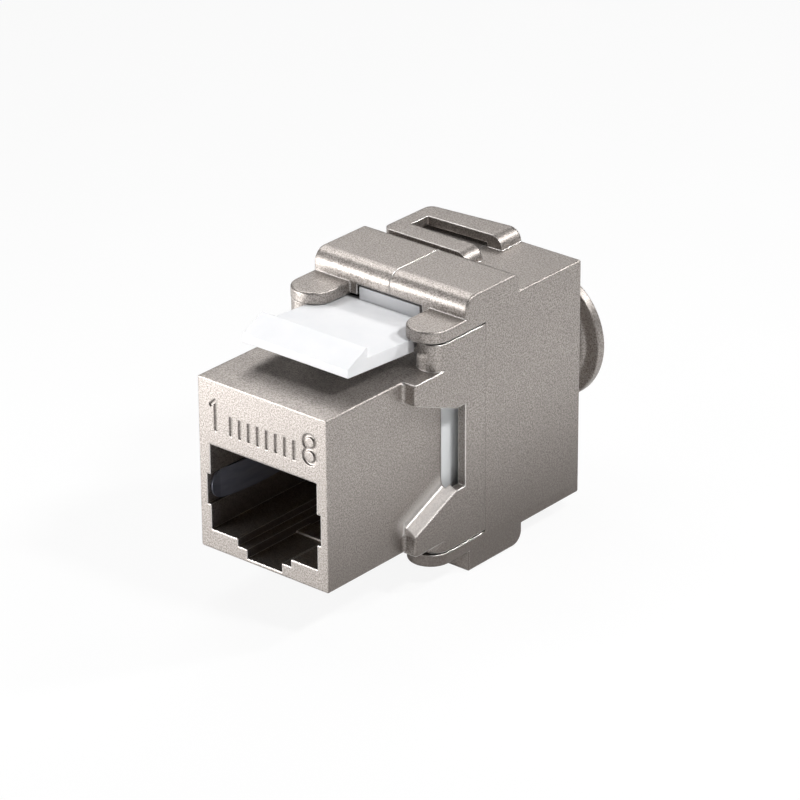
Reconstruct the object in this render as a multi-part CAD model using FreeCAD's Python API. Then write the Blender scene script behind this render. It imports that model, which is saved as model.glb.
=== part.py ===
import FreeCAD, Part
import math
import os

# Shielded keystone jack with two hinged rear doors, in millimetres.
# The origin is the centre of the front face of the block that goes through the panel.
# +X is to the right seen from the front, +Y runs back to the cable and +Z points up to the latch.
# Every place along Y is counted from the front face, through the hinge, to the rear of the doors.

V = FreeCAD.Vector

# How far a cutting shape runs past the face it opens, and how near two places count as one
OVERCUT = 1.0
TOLERANCE = 0.001

# Front block that fills the panel opening
BLOCK_WIDTH = 14.5
BLOCK_HEIGHT = 16.2
BLOCK_WALL = 1.0
FRONT_WALL = 1.6
EDGE_ROUND = 0.2

# Port for the plug
PORT_WIDTH = 12.1
PORT_HEIGHT = 8.15
PORT_LIFT = 1.9
LEDGE_WIDTH = 6.1
LEDGE_DROP = 0.7
KEYWAY_WIDTH = 4.0
KEYWAY_DROP = 0.85
SIDE_SLOT_DEPTH = 0.4
SIDE_SLOT_HEIGHT = 2.9
SIDE_SLOT_LIFT = 2.35

# Engraved pin numbers on the front face
MARK_DEPTH = 0.15
MARK_STROKE = 0.3
MARK_HEIGHT = 2.9
MARK_CENTRE = 4.85
MARK_SPAN = 10.6
MARK_FLAG = 0.87
MARK_RING = 0.81
MARK_TICK = 1.74
PIN_COUNT = 8

# Fixed hook under the block that holds the lower edge of the panel
HOOK_WIDTH = 8.0
HOOK_DEPTH = 1.3
HOOK_LENGTH = 1.8
HOOK_FLAT = 0.6
HOOK_START = 6.4

# Wings behind the block, with a window notch in each side
WING_FRONT = 9.9
WING_WIDTH = 17.2
WING_WALL = 0.85
WING_CORNER = 0.35
NOTCH_TOP_DROP = 1.92
NOTCH_TOP_FALL = 2.13
NOTCH_BOTTOM_RISE = 1.84
NOTCH_BOTTOM_CLIMB = 2.43
NOTCH_SLOPE_LENGTH = 5.5
RAMP_TILT = 0.55
RAMP_CREASE = 0.2
RAMP_ROUND = 1.2
WINDOW_LEAD = 0.72
WINDOW_LENGTH = 1.68

# Hinge of each door
HINGE_SETBACK = 4.3
KNUCKLE_RADIUS = 1.5
KNUCKLE_RISE = 2.5
KNUCKLE_DROP = 1.05
HINGE_GAP = 0.19
PIN_RADIUS = 0.7
PIN_FIT = 0.01
PIN_RUN = 0.05
PIN_EMBED = 3.2
LOWER_PIN_EMBED = 1.75
PIN_REACH = 0.7
EAR_RADIUS = 2.07
EAR_THICKNESS = 1.07
EAR_LAG = 0.15
SEAM_SETBACK = 5.08
SEAM_CLEARANCE = 0.02

# Doors
DOOR_TOP_RISE = 4.05
DOOR_BOTTOM_DROP = 2.4
DOOR_LENGTH = 15.96
DOOR_WALL = 1.0
REAR_WALL = 1.2
DOOR_SEAM = 0.03
RAISED_SETBACK = 2.51
RAISED_LENGTH = 7.24
RAISED_HEIGHT = 1.7
RAISED_FRONT_ROUND = 1.3
RAISED_REAR_ROUND = 0.75
FOOT_SETBACK = 2.84
FOOT_LENGTH = 7.51
FOOT_DEPTH = 1.88
FOOT_FRONT_ROUND = 0.25
FOOT_EDGE = 0.15
FOOT_REAR_ROUND = 1.25
FACE_EDGE_LIFT = 0.05

# Cable collar, half on each door
COLLAR_BORE = 4.1
NECK_RADIUS = 4.95
NECK_LENGTH = 5.6
FLANGE_RADIUS = 6.4
FLANGE_THICKNESS = 0.9
FLANGE_CONE = 0.35
COLLAR_ROUND = 0.5
RIM_ROUND = 0.15

# Latch loop on the right door, which lies over the left door
LOOP_GAP = 0.4
LOOP_THICKNESS = 0.85
LOOP_REACH = 7.7
LOOP_FOOT = 1.97
LOOP_START = 1.0
LOOP_REAR_INSET = 0.15
LOOP_TAPER = 1.0
LOOP_ARM = 2.15
LOOP_REAR_ARM = 2.7
LOOP_END_BAR = 1.45
LOOP_SLOT_TAPER = 0.33
LOOP_CORNER = 0.8
LOOP_FOOT_INSIDE = 0.35
BUMP_HEIGHT = 0.3
BUMP_RADIUS = 0.6

# Panel latch
LATCH_WIDTH = 11.8
LATCH_FRONT = 4.34
LATCH_THICKNESS = 1.2
LATCH_ROOT_TOP = 2.35
LATCH_SLOPE = 0.062
LIP_LENGTH = 2.5
LIP_HEIGHT = 0.95
LIP_NOSE = 0.8
POST_NOTCH_GAP = 0.25
LATCH_TAIL = 0.4
UPSTAND_WIDTH = 6.8
UPSTAND_RISE = 3.56
UPSTAND_THICKNESS = 1.3
SLOT_TOP_CLEARANCE = 0.19
SLOT_SIDE_CLEARANCE = 0.28
BARREL_RADIUS = 0.95
BARREL_LIFT = 1.15
BARREL_SETBACK = 1.3
JOURNAL_RADIUS = 0.5
JOURNAL_LENGTH = 0.6
CHEEK_THICKNESS = 0.9
CHEEK_REACH = 0.78
CHEEK_LIFT = 0.4

# Parts inside
INNER_FIT = 0.05
CARRIER_BACK = 1.3
BOARD_THICKNESS = 1.0
CONTACT_PITCH = 1.02
CONTACT_WIDTH = 0.45
CONTACT_THICKNESS = 0.3
CONTACT_FRONT = 3.4
CONTACT_LIFT = 1.9
CONTACT_DROP = 2.3
CONTACT_RUN = 6.4
TERMINAL_BLOCK_LENGTH = 7.0
TERMINAL_BLOCK_INSET = 0.75
TERMINAL_ROW = 4
TERMINAL_PITCH = 3.2
TERMINAL_WIDTH = 2.4
TERMINAL_THICKNESS = 0.5
TERMINAL_HEIGHT = 5.0
TERMINAL_FORK = 2.6
TERMINAL_SLOT = 0.4
TERMINAL_ROUND = 0.48
CAP_GAP = 0.1
CAP_BORE = 3.4
CAP_CHANNEL = 1.3
SPRING_THICKNESS = 0.2
SPRING_BULGE = 0.55
SPRING_FLAT = 1.0

# Places worked out from the sizes above
block_half = BLOCK_WIDTH / 2
block_top = BLOCK_HEIGHT / 2
block_bottom = -BLOCK_HEIGHT / 2
port_half = PORT_WIDTH / 2
port_floor = block_bottom + PORT_LIFT
port_top = port_floor + PORT_HEIGHT
wing_half = WING_WIDTH / 2
hinge_x = wing_half - KNUCKLE_RADIUS
hinge_y = WING_FRONT + HINGE_SETBACK
block_end = hinge_y + WINDOW_LEAD
window_end = block_end + WINDOW_LENGTH
inner_half = wing_half - WING_WALL
shelf_end = hinge_y + SEAM_SETBACK - 2 * EDGE_ROUND
seam_radius = math.hypot(KNUCKLE_RADIUS, SEAM_SETBACK)
knuckle_top = block_top + KNUCKLE_RISE
knuckle_bottom = block_bottom - KNUCKLE_DROP
ear_under = knuckle_top + HINGE_GAP
ear_top = ear_under + EAR_THICKNESS
lower_ear_top = knuckle_bottom - HINGE_GAP
door_top = block_top + DOOR_TOP_RISE
door_bottom = block_bottom - DOOR_BOTTOM_DROP
raised_front = hinge_y + RAISED_SETBACK
raised_rear = raised_front + RAISED_LENGTH
raised_top = door_top + RAISED_HEIGHT
foot_front = hinge_y + FOOT_SETBACK
foot_rear = foot_front + FOOT_LENGTH
foot_bottom = door_bottom - FOOT_DEPTH
door_rear = raised_front + DOOR_LENGTH
door_inner_rear = door_rear - REAR_WALL
door_inner_half = wing_half - DOOR_WALL
collar_z = (door_top + door_bottom) / 2
flange_front = door_rear + NECK_LENGTH
collar_end = flange_front + FLANGE_THICKNESS
board_front = block_end - BOARD_THICKNESS
carrier_back = board_front - CARRIER_BACK
terminal_front = block_end + INNER_FIT
terminal_rear = terminal_front + TERMINAL_BLOCK_LENGTH
cap_front = terminal_rear + CAP_GAP
cap_rear = door_inner_rear - CAP_GAP
pivot_y = raised_front + BARREL_SETBACK
pivot_z = block_top + BARREL_LIFT


def box(x0, x1, y0, y1, z0, z1):
    return Part.makeBox(x1 - x0, y1 - y0, z1 - z0, V(x0, y0, z0))


def prism(points, start, length):
    """Extrudes a closed polygon of points by a vector, from a start offset."""
    corners = [p + start for p in points]
    return Part.Face(Part.makePolygon(corners + corners[:1])).extrude(length)


def side_prism(outline, x0, x1):
    """Extrudes a (y, z) outline from x0 to x1."""
    return prism([V(0, y, z) for y, z in outline], V(x0, 0, 0), V(x1 - x0, 0, 0))


def plan_prism(outline, z0, z1):
    """Extrudes an (x, y) outline from z0 to z1."""
    return prism([V(x, y, 0) for x, y in outline], V(0, 0, z0), V(0, 0, z1 - z0))


def post(x, y, z0, z1, radius):
    return Part.makeCylinder(radius, z1 - z0, V(x, y, z0))


def joined(first, *others):
    return first.multiFuse(list(others)).removeSplitter()


def mirrored(shape):
    return shape.mirror(V(0, 0, 0), V(1, 0, 0))


def straight_edges(shape, axis, spots):
    """Edges along one axis (0, 1 or 2) that cross a spot. None in a spot matches any value."""
    others = [i for i in range(3) if i != axis]
    found = []
    for edge in shape.Edges:
        a = edge.Vertexes[0].Point
        b = edge.Vertexes[-1].Point
        if abs((b - a)[axis]) < TOLERANCE or any(abs(a[i] - b[i]) > TOLERANCE for i in others):
            continue
        for spot in spots:
            if all(s is None or abs(a[i] - s) < TOLERANCE for i, s in zip(others, spot)):
                found.append(edge)
    return found


def rounded(shape, radius, axis, *spots):
    return shape.makeFillet(radius, straight_edges(shape, axis, spots))


def rim_edges(shape, axis, value):
    """Edges that lie wholly in one plane across an axis."""
    found = []
    for edge in shape.Edges:
        span = edge.BoundBox
        low = (span.XMin, span.YMin, span.ZMin)[axis]
        high = (span.XMax, span.YMax, span.ZMax)[axis]
        if abs(low - value) < TOLERANCE and abs(high - value) < TOLERANCE:
            found.append(edge)
    return found


def circles(shape, radius):
    """Full-circle edges of one radius."""
    rings = [e for e in shape.Edges if isinstance(e.Curve, Part.Circle)]
    return [e for e in rings if abs(e.Curve.Radius - radius) < TOLERANCE]


def front_block():
    block = box(-block_half, block_half, 0, block_end, block_bottom, block_top)
    block = rounded(block, EDGE_ROUND, 1, (None, block_top), (None, block_bottom))
    return block.makeFillet(EDGE_ROUND / 2, rim_edges(block, 1, 0))


def wing_body():
    body = box(-wing_half, wing_half, WING_FRONT, shelf_end, block_bottom, block_top)
    return rounded(body, EDGE_ROUND, 2, (None, WING_FRONT))


def side_wall():
    """Tall wall behind one knuckle, which ends on an arc about the hinge."""
    wall = box(inner_half, wing_half, hinge_y, hinge_y + 2 * SEAM_SETBACK, knuckle_bottom, knuckle_top)
    reach = post(hinge_x, hinge_y, knuckle_bottom, knuckle_top, seam_radius)
    return wall.common(reach)


def wing_cove():
    """Concave corner between the block's side and the wing's front face."""
    r = WING_CORNER
    low = block_bottom + EDGE_ROUND
    edge = WING_FRONT + EDGE_ROUND
    centre = V(block_half + r, WING_FRONT - r, low)
    start = V(block_half, WING_FRONT - r, low)
    end = V(block_half + r, WING_FRONT, low)
    middle = centre + V(-r * math.sqrt(0.5), r * math.sqrt(0.5), 0)
    corner = V(block_half - EDGE_ROUND, edge, low)
    outline = [
        Part.Arc(start, middle, end).toShape(),
        Part.makeLine(end, V(end.x, edge, low)),
        Part.makeLine(V(end.x, edge, low), corner),
        Part.makeLine(corner, V(corner.x, start.y, low)),
        Part.makeLine(V(corner.x, start.y, low), start),
    ]
    return Part.Face(Part.Wire(outline)).extrude(V(0, 0, BLOCK_HEIGHT - 2 * EDGE_ROUND))


def knuckles():
    upper = post(hinge_x, hinge_y, block_top - BLOCK_WALL / 2, knuckle_top, KNUCKLE_RADIUS)
    lower = post(hinge_x, hinge_y, knuckle_bottom, block_bottom + BLOCK_WALL / 2, KNUCKLE_RADIUS)
    return [upper, lower]


def window_notch():
    """Cutter for the side notch: a sloped roof, a ramp below and the window at its rear."""
    slope_end = WING_FRONT + NOTCH_SLOPE_LENGTH
    roof_front = block_top - NOTCH_TOP_DROP
    roof_rear = roof_front - NOTCH_TOP_FALL
    ramp_front = block_bottom + NOTCH_BOTTOM_RISE
    ramp_rear = ramp_front + NOTCH_BOTTOM_CLIMB
    roof_lead = roof_front + OVERCUT * NOTCH_TOP_FALL / NOTCH_SLOPE_LENGTH
    ramp_lead = ramp_front - OVERCUT * NOTCH_BOTTOM_CLIMB / NOTCH_SLOPE_LENGTH
    outline = [
        (WING_FRONT - OVERCUT, ramp_lead),
        (slope_end, ramp_rear),
        (window_end, ramp_rear),
        (window_end, roof_rear),
        (slope_end, roof_rear),
        (WING_FRONT - OVERCUT, roof_lead),
    ]
    return side_prism(outline, block_half, wing_half + OVERCUT)


def ramp_corner():
    """Corner above the ramp: the floor tilts up to a crease, then a hollow runs into the block's side."""
    low = block_bottom + NOTCH_BOTTOM_RISE
    inside = block_half - EDGE_ROUND
    crease = V(block_half + RAMP_CREASE, WING_FRONT, low + RAMP_TILT)
    turn = math.acos(1 - RAMP_CREASE / RAMP_ROUND)
    top = crease.z + RAMP_ROUND * math.sin(turn)
    centre = V(block_half + RAMP_ROUND, WING_FRONT, top)
    half_way = centre - V(math.cos(turn / 2), 0, math.sin(turn / 2)) * RAMP_ROUND
    corners = [
        V(block_half, WING_FRONT, top),
        V(inside, WING_FRONT, top),
        V(inside, WING_FRONT, low - EDGE_ROUND),
        V(wing_half, WING_FRONT, low - EDGE_ROUND),
        V(wing_half, WING_FRONT, low),
        crease,
    ]
    lines = [Part.makeLine(a, b) for a, b in zip(corners, corners[1:])]
    hollow = Part.Arc(crease, half_way, corners[0]).toShape()
    profile = Part.Face(Part.Wire(lines + [hollow]))
    corner = profile.extrude(V(0, NOTCH_SLOPE_LENGTH, NOTCH_BOTTOM_CLIMB)).common(wing_body())
    behind = box(inside - OVERCUT, inner_half, block_end, window_end, block_bottom, block_top)
    return corner.cut(behind)


def port_space():
    """Plug space, with the keyway steps in its floor and the spring slots in its sides."""
    floor_one = port_floor - LEDGE_DROP
    floor_two = floor_one - KEYWAY_DROP
    slot_half = port_half + SIDE_SLOT_DEPTH
    slot_low = port_floor + SIDE_SLOT_LIFT
    spaces = [
        box(-port_half, port_half, -OVERCUT, block_end + OVERCUT, port_floor, port_top),
        box(-LEDGE_WIDTH / 2, LEDGE_WIDTH / 2, -OVERCUT, carrier_back, floor_one, port_top),
        box(-KEYWAY_WIDTH / 2, KEYWAY_WIDTH / 2, -OVERCUT, carrier_back, floor_two, port_top),
        box(-slot_half, slot_half, -OVERCUT, carrier_back, slot_low, slot_low + SIDE_SLOT_HEIGHT),
    ]
    return joined(*spaces)


def inner_space():
    """Space behind the port: the contact carrier's pocket and the room for the terminal block."""
    ceiling = block_top - BLOCK_WALL
    carrier = box(-port_half, port_half, FRONT_WALL, block_end + OVERCUT, port_top - OVERCUT, ceiling)
    rear = box(-inner_half, inner_half, block_end, shelf_end + OVERCUT, -ceiling, ceiling)
    return carrier.fuse(rear)


def digit_one(x, z):
    """Engraved 1: an upright stroke with a short flag."""
    half = MARK_HEIGHT / 2
    stroke = MARK_STROKE
    upright = box(x - stroke / 2, x + stroke / 2, -OVERCUT, MARK_DEPTH, z - half, z + half)
    flag = box(-stroke / 2, stroke / 2, -OVERCUT, MARK_DEPTH, -MARK_FLAG, 0)
    flag.rotate(V(0, 0, 0), V(0, 1, 0), 45)
    flag.translate(V(x, 0, z + half - stroke / 4))
    return upright.fuse(flag)


def digit_eight(x, z):
    """Engraved 8: two rings, the lower a little larger."""
    upper = MARK_HEIGHT / 2 + MARK_STROKE / 2 - MARK_RING
    depth = MARK_DEPTH + OVERCUT
    places = ((MARK_RING, z - MARK_HEIGHT / 2 + MARK_RING), (upper, z + MARK_HEIGHT / 2 - upper))
    rings = []
    for radius, height in places:
        outer = Part.makeCylinder(radius, depth, V(x, -OVERCUT, height), V(0, 1, 0))
        hole = Part.makeCylinder(radius - MARK_STROKE, depth, V(x, -OVERCUT, height), V(0, 1, 0))
        rings.append(outer.cut(hole))
    return rings[0].fuse(rings[1])


def pin_marks():
    """First and last pin number, with a tick for every pin between them."""
    half = MARK_SPAN / 2
    low = MARK_CENTRE - MARK_HEIGHT / 2
    high = low + MARK_TICK
    wide = MARK_STROKE / 2
    marks = [digit_one(-half, MARK_CENTRE), digit_eight(half, MARK_CENTRE)]
    for i in range(PIN_COUNT):
        x = contact_x(i)
        marks.append(box(x - wide, x + wide, -OVERCUT, MARK_DEPTH, low, high))
    return marks


def fixed_hook():
    top = block_bottom + BLOCK_WALL / 2
    outline = [
        (HOOK_START, top),
        (HOOK_START, block_bottom - HOOK_DEPTH),
        (HOOK_START + HOOK_FLAT, block_bottom - HOOK_DEPTH),
        (HOOK_START + HOOK_LENGTH, block_bottom),
        (HOOK_START + HOOK_LENGTH, top),
    ]
    return side_prism(outline, -HOOK_WIDTH / 2, HOOK_WIDTH / 2)


def latch_cheeks():
    """Two cheeks on the top shelf, bored for the journals of the latch."""
    inner = UPSTAND_WIDTH / 2 + INNER_FIT
    low = block_top - BLOCK_WALL / 2
    high = pivot_z + JOURNAL_RADIUS + CHEEK_LIFT
    outer = inner + CHEEK_THICKNESS
    cheek = box(inner, outer, pivot_y - CHEEK_REACH, pivot_y + CHEEK_REACH, low, high)
    start = V(inner - OVERCUT, pivot_y, pivot_z)
    span = CHEEK_THICKNESS + 2 * OVERCUT
    bore = Part.makeCylinder(JOURNAL_RADIUS + PIN_RUN, span, start, V(1, 0, 0))
    cheek = cheek.cut(bore)
    return [cheek, mirrored(cheek)]


def pin_bores():
    radius = PIN_RADIUS + PIN_FIT
    upper = post(hinge_x, hinge_y, knuckle_top - PIN_EMBED, knuckle_top + OVERCUT, radius)
    lower = post(hinge_x, hinge_y, knuckle_bottom - OVERCUT, knuckle_bottom + LOWER_PIN_EMBED, radius)
    return [upper, lower]


def front_housing():
    body = joined(front_block(), wing_body(), wing_cove(), mirrored(wing_cove()))
    body = body.cut(inner_space()).cut(port_space())
    walls = [side_wall()] + knuckles()
    body = joined(body, *walls, *[mirrored(w) for w in walls], fixed_hook(), *latch_cheeks())
    notch = window_notch()
    corner = ramp_corner()
    body = joined(body.cut(notch).cut(mirrored(notch)), corner, mirrored(corner))
    bores = pin_bores()
    for cutter in bores + [mirrored(b) for b in bores] + pin_marks():
        body = body.cut(cutter)
    return body


def ear(z0, z1, round_z):
    """Hinge ear with a full-round front end, its outer side flush with the door."""
    x = wing_half - EAR_RADIUS
    y = hinge_y + EAR_LAG
    rear = raised_front + DOOR_WALL
    arc = Part.Arc(V(x - EAR_RADIUS, y, z0), V(x, y - EAR_RADIUS, z0), V(x + EAR_RADIUS, y, z0)).toShape()
    right = Part.makeLine(V(x + EAR_RADIUS, y, z0), V(x + EAR_RADIUS, rear, z0))
    back = Part.makeLine(V(x + EAR_RADIUS, rear, z0), V(x - EAR_RADIUS, rear, z0))
    left = Part.makeLine(V(x - EAR_RADIUS, rear, z0), V(x - EAR_RADIUS, y, z0))
    solid = Part.Face(Part.Wire([arc, right, back, left])).extrude(V(0, 0, z1 - z0))
    rim = [e for e in rim_edges(solid, 2, round_z) if e.BoundBox.YMin < rear - EDGE_ROUND]
    return solid.makeFillet(EDGE_ROUND, rim)


def collar():
    """Neck and flange, turned about the cable's axis."""
    outline = [
        (COLLAR_BORE, door_inner_rear),
        (NECK_RADIUS, door_inner_rear),
        (NECK_RADIUS, flange_front - FLANGE_CONE),
        (FLANGE_RADIUS, flange_front),
        (FLANGE_RADIUS, collar_end),
        (COLLAR_BORE, collar_end),
    ]
    points = [V(r, y, collar_z) for r, y in outline]
    ring = Part.Face(Part.makePolygon(points + points[:1])).revolve(V(0, 0, collar_z), V(0, 1, 0), 360)
    throat = [e for e in circles(ring, NECK_RADIUS) if e.Curve.Center.y > door_rear]
    ring = ring.makeFillet(COLLAR_ROUND, throat)
    return ring.makeFillet(RIM_ROUND, circles(ring, FLANGE_RADIUS))


def door_outline():
    return [
        (foot_front, foot_bottom),
        (foot_rear, foot_bottom),
        (foot_rear, door_bottom),
        (door_rear, door_bottom),
        (door_rear, door_top),
        (raised_rear, door_top),
        (raised_rear, raised_top),
        (raised_front, raised_top),
        (raised_front, lower_ear_top),
        (foot_front, lower_ear_top),
    ]


def door_shell():
    """Closed right half of the rear shell, before it is hollowed."""
    shell = side_prism(door_outline(), DOOR_SEAM / 2, wing_half)
    shell = rounded(shell, RAISED_FRONT_ROUND, 0, (raised_front, raised_top))
    shell = rounded(shell, RAISED_REAR_ROUND, 0, (raised_rear, raised_top))
    shell = rounded(shell, FOOT_REAR_ROUND, 0, (foot_rear, foot_bottom))
    shell = rounded(shell, FOOT_FRONT_ROUND, 0, (foot_front, foot_bottom))
    shell = rounded(shell, EDGE_ROUND, 0, (door_rear, door_top), (door_rear, door_bottom))
    foot = foot_rim(shell)
    body = [e for e in rim_edges(shell, 0, wing_half) if not any(e.isSame(f) for f in foot)]
    shell = shell.makeFillet(EDGE_ROUND, body)
    return shell.makeChamfer(FOOT_EDGE, foot_rim(shell))


def foot_rim(shell):
    """Outer edges of the foot, from the lower ear down and round to the door's underside."""
    high = lower_ear_top + TOLERANCE
    rear = foot_rear + TOLERANCE
    rim = rim_edges(shell, 0, wing_half)
    return [e for e in rim if e.BoundBox.ZMax < high and e.BoundBox.YMax < rear]


def door_hollow():
    """Room inside a door, open to the front and to the other door."""
    wall = DOOR_WALL
    low = door_bottom + wall
    high = door_top - wall
    face_edge = ear_under + FACE_EDGE_LIFT
    slot_half = UPSTAND_WIDTH / 2 + SLOT_SIDE_CLEARANCE
    slot_top = block_top + UPSTAND_RISE + SLOT_TOP_CLEARANCE
    front = raised_front - OVERCUT
    behind_front = raised_front + wall
    into = behind_front + OVERCUT
    foot_low = foot_bottom + wall
    return [
        box(-OVERCUT, door_inner_half, behind_front, door_inner_rear, low, high),
        box(-OVERCUT, door_inner_half, front, into, lower_ear_top, face_edge),
        box(-OVERCUT, slot_half, front, into, face_edge - OVERCUT, slot_top),
        box(-OVERCUT, door_inner_half, behind_front, raised_rear - wall, high - OVERCUT, raised_top - wall),
        box(-OVERCUT, door_inner_half, foot_front + wall, foot_rear - wall, foot_low, low + OVERCUT),
        post(hinge_x, hinge_y, lower_ear_top, ear_under, seam_radius + SEAM_CLEARANCE),
    ]


def half_door():
    """What both doors share, made as the right one."""
    door = door_shell()
    for space in door_hollow():
        door = door.cut(space)
    start = V(0, door_inner_rear - OVERCUT, collar_z)
    bore = Part.makeCylinder(COLLAR_BORE, REAR_WALL + 2 * OVERCUT, start, V(0, 1, 0))
    half = box(DOOR_SEAM / 2, wing_half, door_inner_rear, collar_end + OVERCUT, door_bottom, door_top)
    upper_ear = ear(ear_under, ear_top, ear_top)
    lower_ear = ear(door_bottom, lower_ear_top, door_bottom)
    door = door.cut(bore)
    door = joined(door, upper_ear, lower_ear, collar().common(half))
    ear_bore = PIN_RADIUS + PIN_RUN
    reach = PIN_REACH + PIN_RUN
    door = door.cut(post(hinge_x, hinge_y, ear_under - OVERCUT, ear_under + reach, ear_bore))
    return door.cut(post(hinge_x, hinge_y, lower_ear_top - reach, lower_ear_top + OVERCUT, ear_bore))


def latch_loop():
    """Loop that rises from the right door, reaches over the seam and closes above the left door."""
    under = door_top + LOOP_GAP
    top = under + LOOP_THICKNESS
    rise = top - door_top
    front = raised_rear + LOOP_START
    rear = door_rear - LOOP_REAR_INSET
    sink = door_top - DOOR_WALL / 2
    side = side_profile_of_loop(under, top, rise, sink, front, rear)
    outline = [(-LOOP_REACH, front), (LOOP_FOOT, front), (LOOP_FOOT, rear), (-LOOP_REACH, rear - LOOP_TAPER)]
    plan = plan_prism(outline, sink, top)
    corners = [(-LOOP_REACH, front), (-LOOP_REACH, rear - LOOP_TAPER)]
    plan = rounded(plan, LOOP_CORNER, 2, *corners)
    slot_left = -LOOP_REACH + LOOP_END_BAR
    slot_outline = [
        (slot_left, front + LOOP_ARM),
        (LOOP_FOOT + OVERCUT, front + LOOP_ARM),
        (LOOP_FOOT + OVERCUT, rear - LOOP_REAR_ARM),
        (slot_left, rear - LOOP_REAR_ARM - LOOP_SLOT_TAPER),
    ]
    slot = plan_prism(slot_outline, sink - OVERCUT, top + OVERCUT)
    return side.common(plan).cut(slot)


def side_profile_of_loop(under, top, rise, sink, front, rear):
    """Loop seen from the front: a flat strap that bends down through a quarter circle."""
    bend = V(LOOP_FOOT - rise, front, door_top)
    middle = bend + V(rise * math.sqrt(0.5), 0, rise * math.sqrt(0.5))
    arc = Part.Arc(V(bend.x, front, top), middle, V(LOOP_FOOT, front, door_top)).toShape()
    corners = [
        V(LOOP_FOOT, front, door_top),
        V(LOOP_FOOT, front, sink),
        V(LOOP_FOOT_INSIDE, front, sink),
        V(LOOP_FOOT_INSIDE, front, under),
        V(-LOOP_REACH, front, under),
        V(-LOOP_REACH, front, top),
        V(bend.x, front, top),
    ]
    lines = [Part.makeLine(a, b) for a, b in zip(corners, corners[1:])]
    return Part.Face(Part.Wire([arc] + lines)).extrude(V(0, rear - front, 0))


def left_door():
    bump_x = -LOOP_REACH + LOOP_END_BAR / 2
    bump_y = (raised_rear + LOOP_START + door_rear - LOOP_REAR_INSET) / 2
    dome = Part.makeSphere(BUMP_RADIUS, V(bump_x, bump_y, door_top + BUMP_HEIGHT - BUMP_RADIUS))
    return joined(mirrored(half_door()), dome)


def right_door():
    return joined(half_door(), latch_loop())


def hinge_pin(upper):
    if upper:
        return post(hinge_x, hinge_y, knuckle_top - PIN_EMBED, ear_under + PIN_REACH, PIN_RADIUS)
    return post(hinge_x, hinge_y, lower_ear_top - PIN_REACH, knuckle_bottom + LOWER_PIN_EMBED, PIN_RADIUS)


def panel_latch():
    """Plate with a wedge lip in front and a barrel at its root."""
    half = LATCH_WIDTH / 2
    root_top = block_top + LATCH_ROOT_TOP
    lip_end = LATCH_FRONT + LIP_LENGTH
    run = raised_front - LATCH_FRONT
    nose_low = root_top + LATCH_SLOPE * run - LATCH_THICKNESS
    lip_foot = root_top + LATCH_SLOPE * (raised_front - lip_end)
    stand_rear = raised_front + UPSTAND_THICKNESS
    outline = [
        (stand_rear, root_top - LATCH_THICKNESS),
        (raised_front, root_top - LATCH_THICKNESS),
        (LATCH_FRONT, nose_low),
        (LATCH_FRONT, nose_low + LIP_NOSE),
        (lip_end, lip_foot + LIP_HEIGHT),
        (lip_end, lip_foot),
        (raised_front, root_top),
        (stand_rear, root_top),
    ]
    plate = side_prism(outline, -half, half)
    notch = post(hinge_x, hinge_y, block_top, door_top, KNUCKLE_RADIUS + POST_NOTCH_GAP)
    plate = plate.cut(notch).cut(mirrored(notch))
    stand_half = UPSTAND_WIDTH / 2
    tail = raised_front + LATCH_TAIL
    back = box(-half - OVERCUT, -stand_half, tail, stand_rear + OVERCUT, block_top, door_top)
    plate = plate.cut(back).cut(mirrored(back))
    stand = box(-stand_half, stand_half, raised_front, stand_rear, pivot_z, block_top + UPSTAND_RISE)
    barrel = Part.makeCylinder(BARREL_RADIUS, UPSTAND_WIDTH, V(-stand_half, pivot_y, pivot_z), V(1, 0, 0))
    span = UPSTAND_WIDTH + 2 * JOURNAL_LENGTH
    journal = Part.makeCylinder(JOURNAL_RADIUS, span, V(-span / 2, pivot_y, pivot_z), V(1, 0, 0))
    return joined(plate, stand, barrel, journal)


def contact_x(i):
    return (i - (PIN_COUNT - 1) / 2) * CONTACT_PITCH


def contact_carrier():
    """Insert above the port, with a comb of grooves for the wires."""
    half = port_half - INNER_FIT
    top = block_top - BLOCK_WALL - INNER_FIT
    front = FRONT_WALL + INNER_FIT
    carrier = box(-half, half, front, board_front, port_top + INNER_FIT, top)
    groove = CONTACT_WIDTH / 2 + INNER_FIT
    groove_front = CONTACT_FRONT - 3 * CONTACT_THICKNESS
    groove_rear = board_front + OVERCUT
    groove_top = port_top + CONTACT_LIFT + CONTACT_THICKNESS
    for i in range(PIN_COUNT):
        x = contact_x(i)
        carrier = carrier.cut(box(x - groove, x + groove, groove_front, groove_rear, port_top, groove_top))
    return carrier


def port_end_plate():
    """Plate below the carrier that closes the port in front of the board."""
    half = port_half - INNER_FIT
    return box(-half, half, carrier_back, board_front, port_floor + INNER_FIT, port_top + INNER_FIT)


def contact_wire(i):
    """Wire from the board along the groove, turned down in front and back into the port."""
    low = port_top + CONTACT_LIFT
    high = low + CONTACT_THICKNESS
    tip_y = CONTACT_FRONT + CONTACT_RUN
    tip_z = port_top - CONTACT_DROP
    outline = [
        (board_front, low),
        (board_front, high),
        (CONTACT_FRONT, high),
        (CONTACT_FRONT - CONTACT_THICKNESS * 2, low),
        (CONTACT_FRONT, port_top + CONTACT_THICKNESS),
        (tip_y, tip_z),
        (tip_y, tip_z + CONTACT_THICKNESS),
        (CONTACT_FRONT + CONTACT_THICKNESS, port_top + 2 * CONTACT_THICKNESS),
        (CONTACT_FRONT, low),
    ]
    x = contact_x(i)
    return side_prism(outline, x - CONTACT_WIDTH / 2, x + CONTACT_WIDTH / 2)


def circuit_board():
    half = port_half - INNER_FIT
    top = block_top - BLOCK_WALL - INNER_FIT
    return box(-half, half, board_front, block_end, port_floor + INNER_FIT, top)


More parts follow.
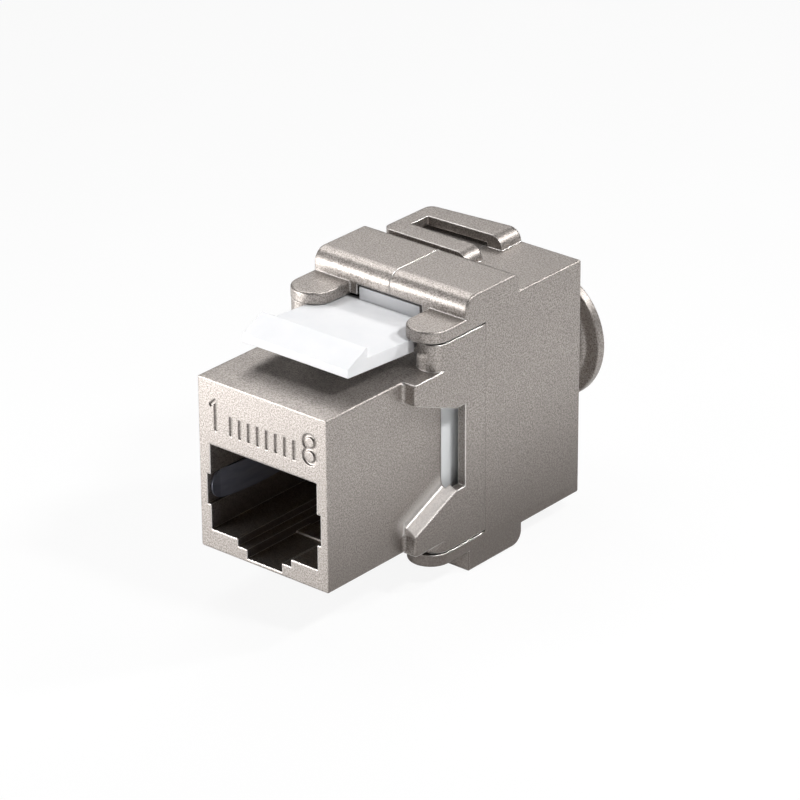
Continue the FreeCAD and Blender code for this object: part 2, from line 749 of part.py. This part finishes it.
def terminal_place(i):
    """Middle of terminal i: four in the upper row, four in the lower row."""
    column = i % TERMINAL_ROW
    x = (column - (TERMINAL_ROW - 1) / 2) * TERMINAL_PITCH
    z = TERMINAL_HEIGHT if i < TERMINAL_ROW else -TERMINAL_HEIGHT
    return x, z


def terminal_slot(i, y0, y1, clearance):
    x, z = terminal_place(i)
    wide = TERMINAL_WIDTH / 2 + clearance
    thick = TERMINAL_THICKNESS / 2 + clearance
    return box(x - wide, x + wide, y0, y1, z - thick, z + thick)


def idc_terminal(i):
    """Flat fork whose slot cuts through the wire's insulation."""
    x, z = terminal_place(i)
    rear = terminal_rear + TERMINAL_FORK
    blade = terminal_slot(i, block_end, rear, 0)
    gap = TERMINAL_SLOT / 2
    thick = TERMINAL_THICKNESS
    slot = box(x - gap, x + gap, terminal_rear + TERMINAL_SLOT, rear + OVERCUT, z - thick, z + thick)
    blade = blade.cut(slot)
    wide = TERMINAL_WIDTH / 2
    return rounded(blade, TERMINAL_ROUND, 2, (x - wide, rear), (x + wide, rear))


def terminal_block():
    half = inner_half - TERMINAL_BLOCK_INSET
    high = block_top - BLOCK_WALL - INNER_FIT
    block = box(-half, half, terminal_front, terminal_rear, -high, high)
    for i in range(2 * TERMINAL_ROW):
        block = block.cut(terminal_slot(i, terminal_front - OVERCUT, terminal_rear + OVERCUT, INNER_FIT))
    return block


def wire_cap():
    """Wire manager: a cable bore from the rear and a channel from it to the outside for each wire."""
    half = inner_half - TERMINAL_BLOCK_INSET
    high = block_top - BLOCK_WALL - INNER_FIT
    cap = box(-half, half, cap_front, cap_rear, -high, high)
    fork_end = terminal_rear + TERMINAL_FORK
    cap = rounded(cap, DOOR_WALL, 1, (None, high), (None, -high))
    bore = Part.makeCylinder(CAP_BORE, cap_rear - cap_front, V(0, fork_end, 0), V(0, 1, 0))
    cap = cap.cut(bore)
    for i in range(2 * TERMINAL_ROW):
        x, z = terminal_place(i)
        cap = cap.cut(terminal_slot(i, cap_front - OVERCUT, fork_end + INNER_FIT, INNER_FIT))
        wide = CAP_CHANNEL / 2
        low, top = sorted((z - math.copysign(CAP_BORE / 2, z), math.copysign(high + OVERCUT, z)))
        cap = cap.cut(box(x - wide, x + wide, cap_front - OVERCUT, cap_front + CAP_CHANNEL, low, top))
    return cap


def shield_spring():
    """Thin tongue in the right side slot, bowed into the port, with a round front end."""
    outer = port_half + SIDE_SLOT_DEPTH - INNER_FIT
    inner = outer - SPRING_THICKNESS
    start = 2 * EDGE_ROUND
    end = carrier_back - INNER_FIT
    middle = V(-SPRING_BULGE, (start + end) / 2, 0)

    def bow(x):
        low = V(x, start + SPRING_FLAT, 0)
        high = V(x, end - SPRING_FLAT, 0)
        first = Part.makeLine(V(x, start, 0), low)
        arc = Part.Arc(low, middle + V(x, 0, 0), high).toShape()
        last = Part.makeLine(high, V(x, end, 0))
        return [first, arc, last]

    closing = [
        Part.makeLine(V(inner, start, 0), V(outer, start, 0)),
        Part.makeLine(V(inner, end, 0), V(outer, end, 0)),
    ]
    wire = Part.Wire(Part.__sortEdges__(bow(outer) + bow(inner) + closing))
    low = port_floor + SIDE_SLOT_LIFT + INNER_FIT
    high = low + SIDE_SLOT_HEIGHT - 2 * INNER_FIT
    strip = Part.Face(wire).extrude(V(0, 0, high - low))
    strip.translate(V(0, 0, low))
    radius = (high - low) / 2
    depth = SPRING_THICKNESS + 2 * OVERCUT
    centre = V(inner - OVERCUT, start + radius, low + radius)
    nose = Part.makeCylinder(radius, depth, centre, V(1, 0, 0))
    rest = box(inner - OVERCUT, outer + OVERCUT, start + radius, end, low, high)
    return strip.common(nose.fuse(rest))


def make_all():
    spring = shield_spring()
    parts = {
        "front_housing": front_housing(),
        "left_door": left_door(),
        "right_door": right_door(),
        "right_upper_hinge_pin": hinge_pin(True),
        "right_lower_hinge_pin": hinge_pin(False),
        "left_upper_hinge_pin": mirrored(hinge_pin(True)),
        "left_lower_hinge_pin": mirrored(hinge_pin(False)),
        "panel_latch": panel_latch(),
        "contact_carrier": contact_carrier(),
        "port_end_plate": port_end_plate(),
        "circuit_board": circuit_board(),
        "terminal_block": terminal_block(),
        "wire_cap": wire_cap(),
        "right_shield_spring": spring,
        "left_shield_spring": mirrored(spring),
    }
    for i in range(PIN_COUNT):
        parts["contact_wire_%d" % (i + 1)] = contact_wire(i)
    for i in range(2 * TERMINAL_ROW):
        parts["idc_terminal_%d" % (i + 1)] = idc_terminal(i)
    return parts


os.makedirs("parts", exist_ok=True)
for name, shape in make_all().items():
    shape.exportStep("parts/%s.step" % name)
    centre = shape.CenterOfGravity
    print(name, len(shape.Solids), shape.isValid(), round(shape.Volume, 2),
          tuple(round(c, 2) for c in centre))
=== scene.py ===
import math

import bpy
from mathutils import Matrix, Vector


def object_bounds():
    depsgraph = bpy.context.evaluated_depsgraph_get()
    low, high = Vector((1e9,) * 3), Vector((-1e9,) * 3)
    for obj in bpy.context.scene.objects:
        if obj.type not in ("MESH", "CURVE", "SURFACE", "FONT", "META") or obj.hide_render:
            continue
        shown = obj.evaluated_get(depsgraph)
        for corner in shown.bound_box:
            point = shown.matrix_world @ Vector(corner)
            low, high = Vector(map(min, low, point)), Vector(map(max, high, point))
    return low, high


# The looks of a die-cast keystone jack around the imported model. Blender works in metres.
# Places and sizes on the object are written in millimetres and multiplied by MM.
MM = 0.001

# Middle of the crease above each wing's lower ramp, and its direction, as (y, z).
RAMP_MIDDLE = (12.4, -4.61)
RAMP_SLOPE = (0.9147, 0.4041)
# Where the housing's wings end and the doors begin.
SEAM_Y = 19.28

# Soft limits of places on the shell, in millimetres of the shared frame, as (outer, inner).
# A mask is 0 beyond the outer value and 1 from the inner one on.
PORT_SIDES = (6.9, 6.6)
PORT_FLOOR = (-8.0, -7.9)
PORT_ROOF = (2.3, 2.1)
PORT_MOUTH = (0.15, 1.6)
RAMP_GLOW_TOP = (1.6, 0.2)
RAMP_GLOW_BOTTOM = (-0.62, -0.55)
RAMP_GLOW_ENDS = (3.9, 2.7)
BLOCK_SIDE = (7.0, 7.1)
WING_SIDE = (8.56, 8.5)
SEAM_BAND = (0.45, 0.35)
SHELL_SIDE = (8.2, 8.3)
MARKS_DEPTH = (0.5, 0.4)
MARKS_SIDES = (6.9, 6.8)
MARKS_BOTTOM = (2.5, 2.6)
MARKS_TOP = (7.8, 7.7)
FLANK_FALL = (4.0, -12.0)
FOOT_TOP = (-8.3, -9.6)

# Tones of the shell: the two ends of its grain, the faint clouds over it, the painted shade on
# its lower flanks, the painted highlight on the ramp corners, the painted highlight on the edges
# and the painted shade inside the plug port.
GRAIN_DARK = (0.21, 0.188, 0.173)
GRAIN_LIGHT = (0.50, 0.46, 0.43)
CLOUD_TONE = (0.31, 0.284, 0.263)
FLANK_PAINTED_SHADE = (0.115, 0.099, 0.088)
RAMP_PAINTED_HIGHLIGHT = (0.92, 0.88, 0.85)
EDGE_PAINTED_HIGHLIGHT = (0.92, 0.89, 0.86)
PORT_PAINTED_SHADE = (0.16, 0.11, 0.08)
# How far each of them covers the grain.
FLANK_PAINTED_SHADE_SHARE = 0.74
RAMP_PAINTED_HIGHLIGHT_SHARE = 0.5
EDGE_PAINTED_HIGHLIGHT_SHARE = 0.85
PORT_PAINTED_SHADE_SHARE = 0.3

# Texture of the shell: scales per millimetre, the parts of its two grains, and its relief
# in millimetres.
GRAIN_SCALE = 6.5
SPECK_SCALE = 12.0
CLOUD_SCALE = 0.45
GRAIN_PART = 0.55
SPECK_PART = 0.45
GRAIN_RELIEF = 0.02
# Roughness of the shell, from the smooth to the rough end of its grain, and how much
# smoother its worn edges are.
SHELL_ROUGHNESS = (0.38, 0.50)
WORN_POLISH = 0.1

# Radii that the light finds on sharp edges, in millimetres.
METAL_EDGE = 0.22
PLASTIC_EDGE = 0.09
# How far light scatters inside the plastics, in millimetres.
SCATTER_RADIUS = 0.6

# Numbers of the contact wires and of their terminals.
CONTACTS = range(1, 9)

FLOOR_HALF_WIDTH = 3.0
# Distances from the object's middle, in millimetres, between which the floor takes over
# the backdrop's white in reflections.
MIRROR_NEAR = 20.0
MIRROR_FAR = 90.0
OBJECT_MIDDLE_Y = 20.0
# How much of the floor shows as the white backdrop. The rest keeps the shadow.
BACKDROP_SHARE = 0.9
WORLD_TONE = (0.97, 0.98, 1.0, 1.0)
WORLD_STRENGTH = 0.04

# Name, place, aim, size and power of each lamp, in metres and watts.
LAMPS = (
    ("key", (0.087, 0.021, 0.110), (0.002, 0.014, 0.004), (0.017, 0.017), 0.115),
    ("rear_left", (-0.135, 0.165, 0.21), (0.0, 0.005, 0.006), (0.12, 0.12), 0.178),
    ("upper_left", (-0.05, 0.02, 0.09), (0.0, 0.01, 0.008), (0.04, 0.04), 0.030),
    ("front_left", (-0.18, -0.21, 0.15), (0.0, 0.0, 0.0), (0.20, 0.20), 0.11),
    ("low_left", (-0.17, -0.20, 0.006), (0.0, 0.0, -0.002), (0.24, 0.034), 0.55),
    ("near_left", (-0.045, -0.055, 0.002), (0.0, 0.0, 0.0), (0.04, 0.024), 0.030),
    ("edge_light", (0.107, 0.173, 0.146), (0.0, 0.012, 0.004), (0.025, 0.025), 0.24),
    ("port_fill", (0.034, -0.085, -0.004), (0.0, 0.004, -0.002), (0.02, 0.012), 0.006),
    ("window_fill", (0.033, 0.0015, 0.003), (0.0076, 0.0165, 0.0), (0.008, 0.008), 0.0006),
)

# The photograph's camera, solved from the block's straight edges: angles in degrees, lengths
# in millimetres, focal length in pixels of the photograph.
CAMERA_AZIMUTH = 40.1336
CAMERA_ELEVATION = 25.2106
CAMERA_ROLL = -0.3177
CAMERA_AIM = (0.0, 15.0, 3.1)
CAMERA_SHIFT_RIGHT = -1.9813
CAMERA_SHIFT_UP = 0.6132
CAMERA_DISTANCE = 368.6375
FOCAL_PIXELS = 4245.3558
PHOTO_PIXELS = 800
SENSOR_WIDTH = 36.0

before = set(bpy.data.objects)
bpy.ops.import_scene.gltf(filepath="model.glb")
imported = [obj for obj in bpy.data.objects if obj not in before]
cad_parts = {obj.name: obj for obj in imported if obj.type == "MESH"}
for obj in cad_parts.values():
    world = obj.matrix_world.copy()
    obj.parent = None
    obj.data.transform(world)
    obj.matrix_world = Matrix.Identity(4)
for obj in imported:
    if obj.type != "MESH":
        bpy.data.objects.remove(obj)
cad_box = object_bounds()


def new_material(name):
    material = bpy.data.materials.new(name)
    material.use_nodes = True
    tree = material.node_tree
    tree.nodes.clear()
    output = tree.nodes.new("ShaderNodeOutputMaterial")
    shader = tree.nodes.new("ShaderNodeBsdfPrincipled")
    tree.links.new(shader.outputs["BSDF"], output.inputs["Surface"])
    return material, tree, shader


def math_node(tree, operation, first, second=0.0, clamp=False):
    node = tree.nodes.new("ShaderNodeMath")
    node.operation = operation
    node.use_clamp = clamp
    for socket, value in zip(node.inputs, (first, second)):
        if isinstance(value, (int, float)):
            socket.default_value = value
        else:
            tree.links.new(value, socket)
    return node.outputs[0]


def multiply(tree, first, second):
    return math_node(tree, "MULTIPLY", first, second)


def remap(tree, value, low, high, to_low=0.0, to_high=1.0):
    """Smooth step of a value from one range to another."""
    node = tree.nodes.new("ShaderNodeMapRange")
    node.interpolation_type = "SMOOTHSTEP"
    tree.links.new(value, node.inputs["Value"])
    ends = {"From Min": low, "From Max": high, "To Min": to_low, "To Max": to_high}
    for name, number in ends.items():
        node.inputs[name].default_value = number
    return node.outputs["Result"]


def within(tree, limits):
    """Product of soft steps of some values, each between its outer and inner limit."""
    mask = 1.0
    for value, (outer, inner) in limits:
        mask = multiply(tree, remap(tree, value, outer * MM, inner * MM), mask)
    return mask


def object_axes(tree):
    """The object's own x, y and z at each point."""
    coords = tree.nodes.new("ShaderNodeTexCoord")
    split = tree.nodes.new("ShaderNodeSeparateXYZ")
    tree.links.new(coords.outputs["Object"], split.inputs[0])
    return split.outputs["X"], split.outputs["Y"], split.outputs["Z"]


def millimetres(tree, stretch=(1.0, 1.0, 1.0)):
    """Object coordinates in millimetres, squeezed along an axis for streaks."""
    coords = tree.nodes.new("ShaderNodeTexCoord")
    mapping = tree.nodes.new("ShaderNodeMapping")
    mapping.inputs["Scale"].default_value = [s / MM for s in stretch]
    tree.links.new(coords.outputs["Object"], mapping.inputs["Vector"])
    return mapping.outputs["Vector"]


def noise(tree, coords, scale, detail=2.0, rough=0.55):
    node = tree.nodes.new("ShaderNodeTexNoise")
    node.inputs["Scale"].default_value = scale
    node.inputs["Detail"].default_value = detail
    node.inputs["Roughness"].default_value = rough
    tree.links.new(coords, node.inputs["Vector"])
    return node.outputs["Fac"]


def blend_colour(tree, factor, first, second):
    """Mix of two colours, each a tuple or another node's colour."""
    node = tree.nodes.new("ShaderNodeMix")
    node.data_type = "RGBA"
    sockets = [s for s in node.inputs if s.type == "RGBA"]
    tree.links.new(factor, node.inputs[0])
    for socket, value in zip(sockets, (first, second)):
        if isinstance(value, tuple):
            socket.default_value = (*value, 1.0)
        else:
            tree.links.new(value, socket)
    return [s for s in node.outputs if s.type == "RGBA"][0]


def cover(tree, colour, mask, share, tone):
    """A colour with a tone laid over it where the mask is 1, at a share of its strength."""
    return blend_colour(tree, multiply(tree, mask, share), colour, tone)


def bump(tree, shader, height, depth_mm, strength, under=None):
    """Relief on a shader. The strength is a number or another node's value."""
    node = tree.nodes.new("ShaderNodeBump")
    node.inputs["Distance"].default_value = depth_mm * MM
    if isinstance(strength, float):
        node.inputs["Strength"].default_value = strength
    else:
        tree.links.new(strength, node.inputs["Strength"])
    tree.links.new(height, node.inputs["Height"])
    if under is not None:
        tree.links.new(under, node.inputs["Normal"])
    tree.links.new(node.outputs["Normal"], shader.inputs["Normal"])


def soft_edges(tree, radius_mm):
    """Normal that rounds the sharp edges, and a mask that is 1 on them."""
    rounded = tree.nodes.new("ShaderNodeBevel")
    rounded.samples = 8
    rounded.inputs["Radius"].default_value = radius_mm * MM
    geometry = tree.nodes.new("ShaderNodeNewGeometry")
    dot = tree.nodes.new("ShaderNodeVectorMath")
    dot.operation = "DOT_PRODUCT"
    tree.links.new(rounded.outputs["Normal"], dot.inputs[0])
    tree.links.new(geometry.outputs["Normal"], dot.inputs[1])
    turn = math_node(tree, "SUBTRACT", 1.0, dot.outputs["Value"], True)
    return rounded.outputs["Normal"], remap(tree, turn, 0.04, 0.22)


def painted_port_shade(tree):
    """Painted shade mask: 1 inside the plug port and behind the wall around it, 0 on the outside
    of the shell.
    """
    x, y, z = object_axes(tree)
    side = math_node(tree, "ABSOLUTE", x)
    walls = ((side, PORT_SIDES), (z, PORT_FLOOR), (z, PORT_ROOF), (y, PORT_MOUTH))
    return within(tree, walls)


def painted_ramp_highlight(tree):
    """Painted highlight: 1 in the corner above each wing's lower ramp, fading out over the
    block's side.
    """
    x, y, z = object_axes(tree)
    y = math_node(tree, "SUBTRACT", y, RAMP_MIDDLE[0] * MM)
    z = math_node(tree, "SUBTRACT", z, RAMP_MIDDLE[1] * MM)
    along_y, along_z = RAMP_SLOPE
    across = math_node(tree, "ADD", multiply(tree, y, -along_z), multiply(tree, z, along_y))
    along = math_node(tree, "ADD", multiply(tree, y, along_y), multiply(tree, z, along_z))
    from_middle = math_node(tree, "ABSOLUTE", along)
    side = math_node(tree, "ABSOLUTE", x)
    return within(tree, (
        (across, RAMP_GLOW_TOP),
        (across, RAMP_GLOW_BOTTOM),
        (from_middle, RAMP_GLOW_ENDS),
        (side, BLOCK_SIDE),
        (side, WING_SIDE),
    ))


def away_from_joints(tree):
    """0 on the pin marks of the front face and along the seam of the doors, else 1."""
    x, y, z = object_axes(tree)
    side = math_node(tree, "ABSOLUTE", x)
    from_seam = math_node(tree, "ABSOLUTE", math_node(tree, "SUBTRACT", y, SEAM_Y * MM))
    seam = within(tree, ((from_seam, SEAM_BAND), (side, SHELL_SIDE)))
    face = ((y, MARKS_DEPTH), (side, MARKS_SIDES), (z, MARKS_BOTTOM), (z, MARKS_TOP))
    marks = within(tree, face)
    return math_node(tree, "SUBTRACT", 1.0, math_node(tree, "MAXIMUM", seam, marks), True)


def painted_flank_shade(tree):
    """Painted shade: grows towards the lower part of the surfaces that face sideways, and is 1
    on the foot.
    """
    geometry = tree.nodes.new("ShaderNodeNewGeometry")
    facing = tree.nodes.new("ShaderNodeSeparateXYZ")
    tree.links.new(geometry.outputs["Normal"], facing.inputs[0])
    _, _, z = object_axes(tree)
    down = within(tree, ((z, FLANK_FALL),))
    sideways = multiply(tree, down, math_node(tree, "ABSOLUTE", facing.outputs["X"]))
    foot = within(tree, ((z, FOOT_TOP),))
    return math_node(tree, "MAXIMUM", sideways, foot)


def die_cast(name, front=False):
    """Satin nickel over fine-grained die-cast zinc, with painted shade on its lower flanks and a
    painted highlight on its edges. The front piece has the port and ramps, with painted shade in
    the port and a painted highlight above the ramps.
    """
    material, tree, shader = new_material(name)
    coords = millimetres(tree)
    grain = noise(tree, coords, GRAIN_SCALE, 2.0, 0.6)
    speck = noise(tree, coords, SPECK_SCALE, 1.0, 0.5)
    cloud = noise(tree, coords, CLOUD_SCALE, 3.0, 0.5)
    normal, edge = soft_edges(tree, METAL_EDGE)
    edge = multiply(tree, edge, away_from_joints(tree))
    coarse = multiply(tree, grain, GRAIN_PART)
    fine = multiply(tree, speck, SPECK_PART)
    mixed = math_node(tree, "ADD", coarse, fine)
    colour = blend_colour(tree, remap(tree, mixed, 0.38, 0.62), GRAIN_DARK, GRAIN_LIGHT)
    patch = remap(tree, cloud, 0.35, 0.65, 0.0, 0.2)
    colour = blend_colour(tree, patch, colour, CLOUD_TONE)
    # Painted shade, darker towards the bottom of the sideways faces and on the foot.
    colour = cover(tree, colour, painted_flank_shade(tree), FLANK_PAINTED_SHADE_SHARE, FLANK_PAINTED_SHADE)
    if front:
        # Painted highlight in the cove above each wing's lower ramp.
        colour = cover(tree, colour, painted_ramp_highlight(tree), RAMP_PAINTED_HIGHLIGHT_SHARE, RAMP_PAINTED_HIGHLIGHT)
    # Painted highlight along the sharp edges, kept off the seam and the pin marks.
    colour = cover(tree, colour, edge, EDGE_PAINTED_HIGHLIGHT_SHARE, EDGE_PAINTED_HIGHLIGHT)
    if front:
        # Painted shade inside the plug port.
        colour = cover(tree, colour, painted_port_shade(tree), PORT_PAINTED_SHADE_SHARE, PORT_PAINTED_SHADE)
    tree.links.new(colour, shader.inputs["Base Color"])
    shader.inputs["Metallic"].default_value = 0.85
    rough = remap(tree, grain, 0.3, 0.7, *SHELL_ROUGHNESS)
    worn_smooth = math_node(tree, "SUBTRACT", rough, multiply(tree, edge, WORN_POLISH))
    tree.links.new(worn_smooth, shader.inputs["Roughness"])
    flatter_edges = remap(tree, edge, 0.0, 0.6, 0.6, 0.08)
    bump(tree, shader, mixed, GRAIN_RELIEF, flatter_edges, normal)
    return material


def plastic(name, light, shade, roughness, grain_mm=0.12, depth=0.003, soft=0.0, gloss=0.5):
    """Smooth moulding with a faint flow in its tone and a fine texture."""
    material, tree, shader = new_material(name)
    coords = millimetres(tree)
    flow = noise(tree, coords, 0.35, 3.0, 0.5)
    grain = noise(tree, coords, 1.0 / grain_mm, 2.0, 0.5)
    normal, _ = soft_edges(tree, PLASTIC_EDGE)
    tone = remap(tree, flow, 0.3, 0.7)
    tree.links.new(blend_colour(tree, tone, shade, light), shader.inputs["Base Color"])
    rough = remap(tree, grain, 0.3, 0.7, roughness - 0.04, roughness + 0.05)
    tree.links.new(rough, shader.inputs["Roughness"])
    shader.inputs["Specular IOR Level"].default_value = gloss
    shader.inputs["Subsurface Weight"].default_value = soft
    shader.inputs["Subsurface Radius"].default_value = [SCATTER_RADIUS * MM] * 3
    shader.inputs["Subsurface Scale"].default_value = 1.0
    bump(tree, shader, grain, depth, 0.5, normal)
    return material


def streaked_metal(name, dark, light, roughness, stretch, scale=6.0, depth=0.004, metallic=1.0):
    """Rolled or drawn metal with fine lines along one axis. Without a depth it is polished."""
    material, tree, shader = new_material(name)
    lines = noise(tree, millimetres(tree, stretch), scale, 3.0, 0.6)
    tone = remap(tree, lines, 0.3, 0.7)
    tree.links.new(blend_colour(tree, tone, dark, light), shader.inputs["Base Color"])
    shader.inputs["Metallic"].default_value = metallic
    if depth:
        spots = noise(tree, millimetres(tree), 1.6, 2.0, 0.5)
        rough = remap(tree, spots, 0.3, 0.7, roughness - 0.02, roughness + 0.1)
        tree.links.new(rough, shader.inputs["Roughness"])
        bump(tree, shader, lines, depth, 0.5)
    else:
        shader.inputs["Roughness"].default_value = roughness
    return material


def board_material(name):
    """Solder resist over a faint glass weave."""
    material, tree, shader = new_material(name)
    weave = []
    for direction in ("X", "Z"):
        node = tree.nodes.new("ShaderNodeTexWave")
        node.bands_direction = direction
        node.inputs["Scale"].default_value = 1.1
        node.inputs["Distortion"].default_value = 0.4
        tree.links.new(millimetres(tree), node.inputs["Vector"])
        weave.append(node.outputs["Fac"])
    cloth = multiply(tree, weave[0], weave[1])
    cloud = noise(tree, millimetres(tree), 0.8)
    tone = math_node(tree, "ADD", multiply(tree, cloth, 0.4), multiply(tree, cloud, 0.5))
    colour = blend_colour(tree, tone, (0.008, 0.07, 0.03), (0.02, 0.15, 0.06))
    tree.links.new(colour, shader.inputs["Base Color"])
    shader.inputs["Roughness"].default_value = 0.35
    bump(tree, shader, cloth, 0.01, 0.4)
    return material


def paint(names, material):
    for name in names:
        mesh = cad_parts[name].data
        mesh.materials.clear()
        mesh.materials.append(material)


def paint_shell():
    paint(["left_door", "right_door"], die_cast("satin_die_cast"))
    paint(["front_housing"], die_cast("satin_die_cast_front", True))


def paint_plastics():
    paint(["panel_latch"], plastic(
        "white_latch", light=(0.75, 0.75, 0.76), shade=(0.72, 0.725, 0.74),
        roughness=0.45, soft=0.1, gloss=0.3))
    paint(["terminal_block"], plastic(
        "block_plastic", light=(0.90, 0.92, 0.93), shade=(0.86, 0.88, 0.89),
        roughness=0.42, soft=0.4))
    paint(["wire_cap"], plastic(
        "cap_plastic", light=(0.78, 0.80, 0.81), shade=(0.70, 0.73, 0.75),
        roughness=0.4, soft=0.1))
    paint(["contact_carrier", "port_end_plate"], plastic(
        "carrier_plastic", light=(0.022, 0.018, 0.016), shade=(0.014, 0.012, 0.011),
        roughness=0.5, grain_mm=0.1, depth=0.006))
    paint(["circuit_board"], board_material("board_lacquer"))


def paint_small_metal():
    along_y = (1.0, 0.1, 1.0)
    along_z = (1.0, 1.0, 0.1)
    along_wire = (1.0, 0.1, 0.1)
    springs = ["left_shield_spring", "right_shield_spring"]
    paint(springs, streaked_metal(
        "spring_steel", dark=(0.19, 0.195, 0.245), light=(0.235, 0.245, 0.30),
        roughness=0.3, stretch=along_y, scale=3.0, depth=0.0, metallic=0.6))
    corners = [(side, level) for side in ("left", "right") for level in ("upper", "lower")]
    pins = ["%s_%s_hinge_pin" % corner for corner in corners]
    paint(pins, streaked_metal(
        "pin_steel", dark=(0.38, 0.37, 0.36), light=(0.60, 0.59, 0.58),
        roughness=0.3, stretch=along_z))
    wires = ["contact_wire_%d" % number for number in CONTACTS]
    paint(wires, streaked_metal(
        "gold_contact", dark=(0.68, 0.46, 0.16), light=(0.88, 0.66, 0.30),
        roughness=0.25, stretch=along_wire))
    forks = ["idc_terminal_%d" % number for number in CONTACTS]
    paint(forks, streaked_metal(
        "tinned_bronze", dark=(0.50, 0.49, 0.47), light=(0.68, 0.67, 0.65),
        roughness=0.32, stretch=along_y))


def away_from_object(tree):
    """1 on the open floor, near 0 beside the object, where its own shadow shows in the metal."""
    coords = tree.nodes.new("ShaderNodeTexCoord")
    offset = tree.nodes.new("ShaderNodeVectorMath")
    offset.operation = "DISTANCE"
    offset.inputs[1].default_value = (0.0, OBJECT_MIDDLE_Y * MM, cad_box[0][2])
    tree.links.new(coords.outputs["Object"], offset.inputs[0])
    return remap(tree, offset.outputs["Value"], MIRROR_NEAR * MM, MIRROR_FAR * MM)


def floor_material():
    """Pale floor that shows as a white studio sweep and keeps the soft shadow."""
    material, tree, shader = new_material("studio_floor")
    speckle = noise(tree, millimetres(tree), 0.05, 2.0, 0.5)
    tone = remap(tree, speckle, 0.3, 0.7)
    colour = blend_colour(tree, tone, (0.84, 0.84, 0.84), (0.88, 0.88, 0.88))
    tree.links.new(colour, shader.inputs["Base Color"])
    shader.inputs["Roughness"].default_value = 0.8
    glow = tree.nodes.new("ShaderNodeEmission")
    glow.inputs["Color"].default_value = (1.0, 1.0, 1.0, 1.0)
    glow.inputs["Strength"].default_value = 1.0
    path = tree.nodes.new("ShaderNodeLightPath")
    rays = path.outputs
    mirrored = multiply(tree, rays["Is Glossy Ray"], away_from_object(tree))
    seen = math_node(tree, "MAXIMUM", rays["Is Camera Ray"], rays["Is Transmission Ray"])
    share = multiply(tree, math_node(tree, "MAXIMUM", seen, mirrored), BACKDROP_SHARE)
    mix = tree.nodes.new("ShaderNodeMixShader")
    tree.links.new(share, mix.inputs[0])
    tree.links.new(shader.outputs["BSDF"], mix.inputs[1])
    tree.links.new(glow.outputs[0], mix.inputs[2])
    output = [n for n in tree.nodes if n.type == "OUTPUT_MATERIAL"][0]
    tree.links.new(mix.outputs[0], output.inputs["Surface"])
    return material


def make_floor():
    low = cad_box[0][2]
    half = FLOOR_HALF_WIDTH
    corners = [(-half, -half, low), (half, -half, low), (half, half, low), (-half, half, low)]
    mesh = bpy.data.meshes.new("floor")
    mesh.from_pydata(corners, [], [(0, 1, 2, 3)])
    mesh.materials.append(floor_material())
    floor = bpy.data.objects.new("floor", mesh)
    bpy.context.scene.collection.objects.link(floor)


def area_light(name, place, aim, size, power):
    light = bpy.data.lights.new(name, "AREA")
    light.shape = "RECTANGLE"
    light.size, light.size_y = size
    light.energy = power
    lamp = bpy.data.objects.new(name, light)
    turn = (Vector(aim) - Vector(place)).to_track_quat("-Z", "Y").to_matrix().to_4x4()
    lamp.matrix_world = Matrix.Translation(place) @ turn
    lamp.visible_camera = False
    bpy.context.scene.collection.objects.link(lamp)


def make_lights():
    """A small high key at the right, boxes at the rear and front left, low boxes for the
    front, a lamp behind for the edge highlights, weak fills for the port and the window, and a
    faint world."""
    for lamp in LAMPS:
        area_light(*lamp)
    world = bpy.data.worlds.new("studio")
    world.use_nodes = True
    background = world.node_tree.nodes["Background"]
    background.inputs["Color"].default_value = WORLD_TONE
    background.inputs["Strength"].default_value = WORLD_STRENGTH
    bpy.context.scene.world = world


def make_camera():
    """The photograph's view of the object."""
    azimuth = math.radians(CAMERA_AZIMUTH)
    elevation = math.radians(CAMERA_ELEVATION)
    roll = math.radians(CAMERA_ROLL)
    back = Vector((
        math.sin(azimuth) * math.cos(elevation),
        -math.cos(azimuth) * math.cos(elevation),
        math.sin(elevation),
    ))
    right = Vector((math.cos(azimuth), math.sin(azimuth), 0.0))
    up = back.cross(right)
    turned_right = math.cos(roll) * right + math.sin(roll) * up
    turned_up = -math.sin(roll) * right + math.cos(roll) * up
    shift = CAMERA_SHIFT_RIGHT * turned_right + CAMERA_SHIFT_UP * turned_up
    place = (Vector(CAMERA_AIM) - shift + CAMERA_DISTANCE * back) * MM
    data = bpy.data.cameras.new("camera")
    data.sensor_width = SENSOR_WIDTH
    data.lens = FOCAL_PIXELS / PHOTO_PIXELS * SENSOR_WIDTH
    data.clip_start = 0.01
    data.clip_end = 20.0
    camera = bpy.data.objects.new("camera", data)
    turn = Matrix((turned_right, turned_up, back)).transposed().to_4x4()
    camera.matrix_world = Matrix.Translation(place) @ turn
    bpy.context.scene.collection.objects.link(camera)
    bpy.context.scene.camera = camera


paint_shell()
paint_plastics()
paint_small_metal()
make_floor()
make_lights()
make_camera()
bpy.context.scene.view_settings.view_transform = "Standard"
